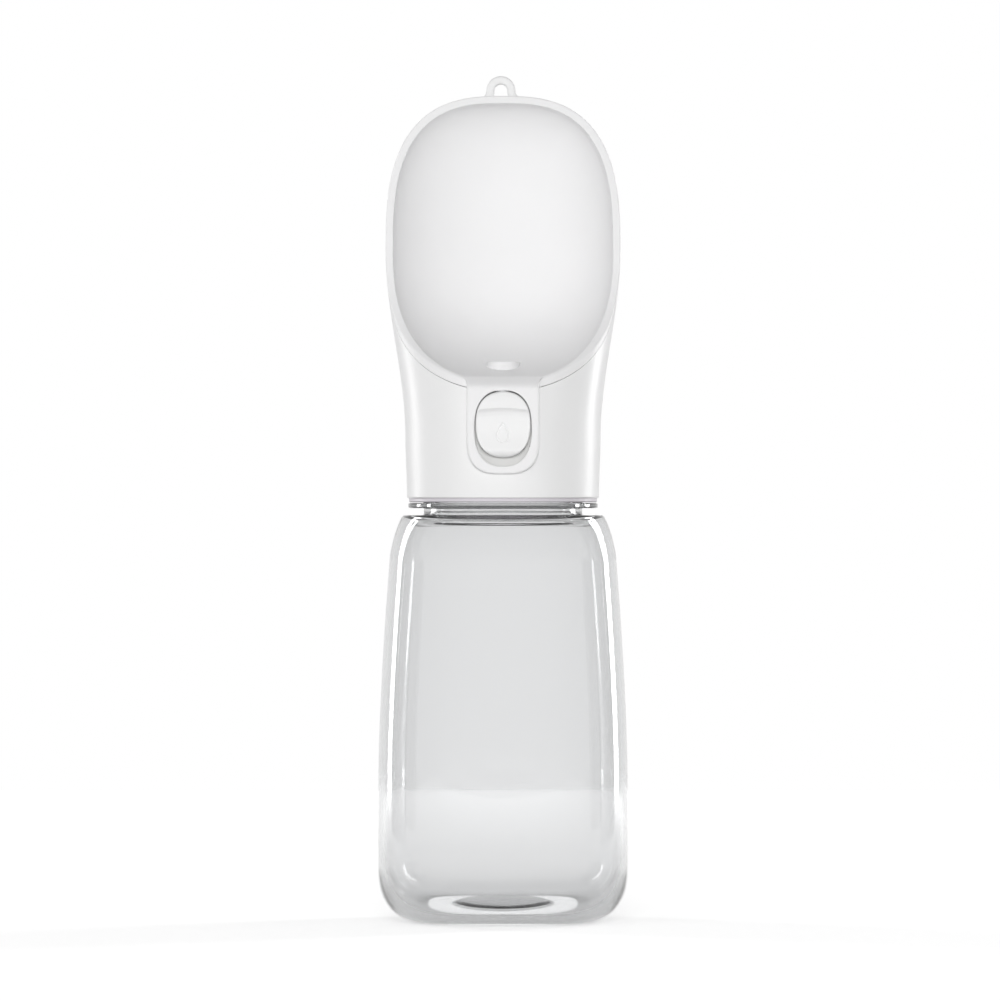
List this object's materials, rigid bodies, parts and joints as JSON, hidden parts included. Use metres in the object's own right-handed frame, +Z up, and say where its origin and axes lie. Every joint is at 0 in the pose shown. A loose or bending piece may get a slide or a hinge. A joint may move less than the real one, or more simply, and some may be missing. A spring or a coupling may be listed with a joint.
{
  "type": "dog travel water bottle",
  "caption": "Clear squarish water bottle with a screw-on white head: a tall drinking scoop with a hanging loop, and a lockable thumb key that opens a spring valve into the scoop.",
  "frame": {"origin": "centre of the bottle's footprint, on the surface that it stands on", "axes": "+Z up through the bottle and head, -Y towards the open side of the scoop and the thumb key, +X to the right as seen from that side"},
  "size_m": [0.072, 0.068, 0.2447],
  "materials": {
    "clear_plastic": "polished clear copolyester",
    "shell_white": "satin moulded ABS",
    "scoop_white": "satin moulded ABS",
    "key_white": "satin moulded ABS",
    "collar_plastic": "satin moulded polypropylene",
    "frame_plastic": "moulded acetal",
    "valve_plastic": "moulded acetal",
    "pale_silicone": "matte silicone",
    "dark_rubber": "matte nitrile rubber",
    "screw_steel": "plain stainless steel",
    "spring_steel": "drawn stainless wire"
  },
  "bodies": {
    "bottle": {"bottle": "clear_plastic"},
    "seal": {"neck_seal": "pale_silicone"},
    "head": {"screw_collar": "collar_plastic", "outer_shell": "shell_white", "scoop": "scoop_white", "valve_housing": "valve_plastic", "inlet_seal": "dark_rubber", "housing_screws": "screw_steel", "outlet_seal": "pale_silicone", "stem_gland": "valve_plastic", "stem_o_ring": "dark_rubber", "return_spring": "spring_steel", "spring_plug": "valve_plastic", "plug_o_ring": "dark_rubber"},
    "press": {"press_frame": "frame_plastic", "frame_screw": "screw_steel", "valve_stem": "valve_plastic", "valve_disc": "dark_rubber", "disc_nut": "screw_steel"},
    "key": {"water_key": "key_white"}
  },
  "joints": [
    {"name": "seal_lift", "type": "slide", "parent": "bottle", "child": "seal", "axis": [0, 0, 1], "range_m": [0, 0.0121]},
    {"name": "head_turn", "type": "hinge", "parent": "seal", "child": "head", "pos_m": [0, 0, 0.125], "axis": [0, 0, 1], "range_deg": [0, 720]},
    {"name": "key_press", "type": "slide", "parent": "head", "child": "press", "axis": [0, 1, 0], "range_m": [0, 0.003], "stiffness_N_per_m": 720, "springref_m": -0.003, "deforming": ["return_spring"]},
    {"name": "key_lock", "type": "slide", "parent": "press", "child": "key", "axis": [0, 0, -1], "range_m": [0, 0.0024]}
  ],
  "couplings": [
    {"joint": "seal_lift", "follows": "head_turn", "m_per_rad": 0.00095493}
  ]
}
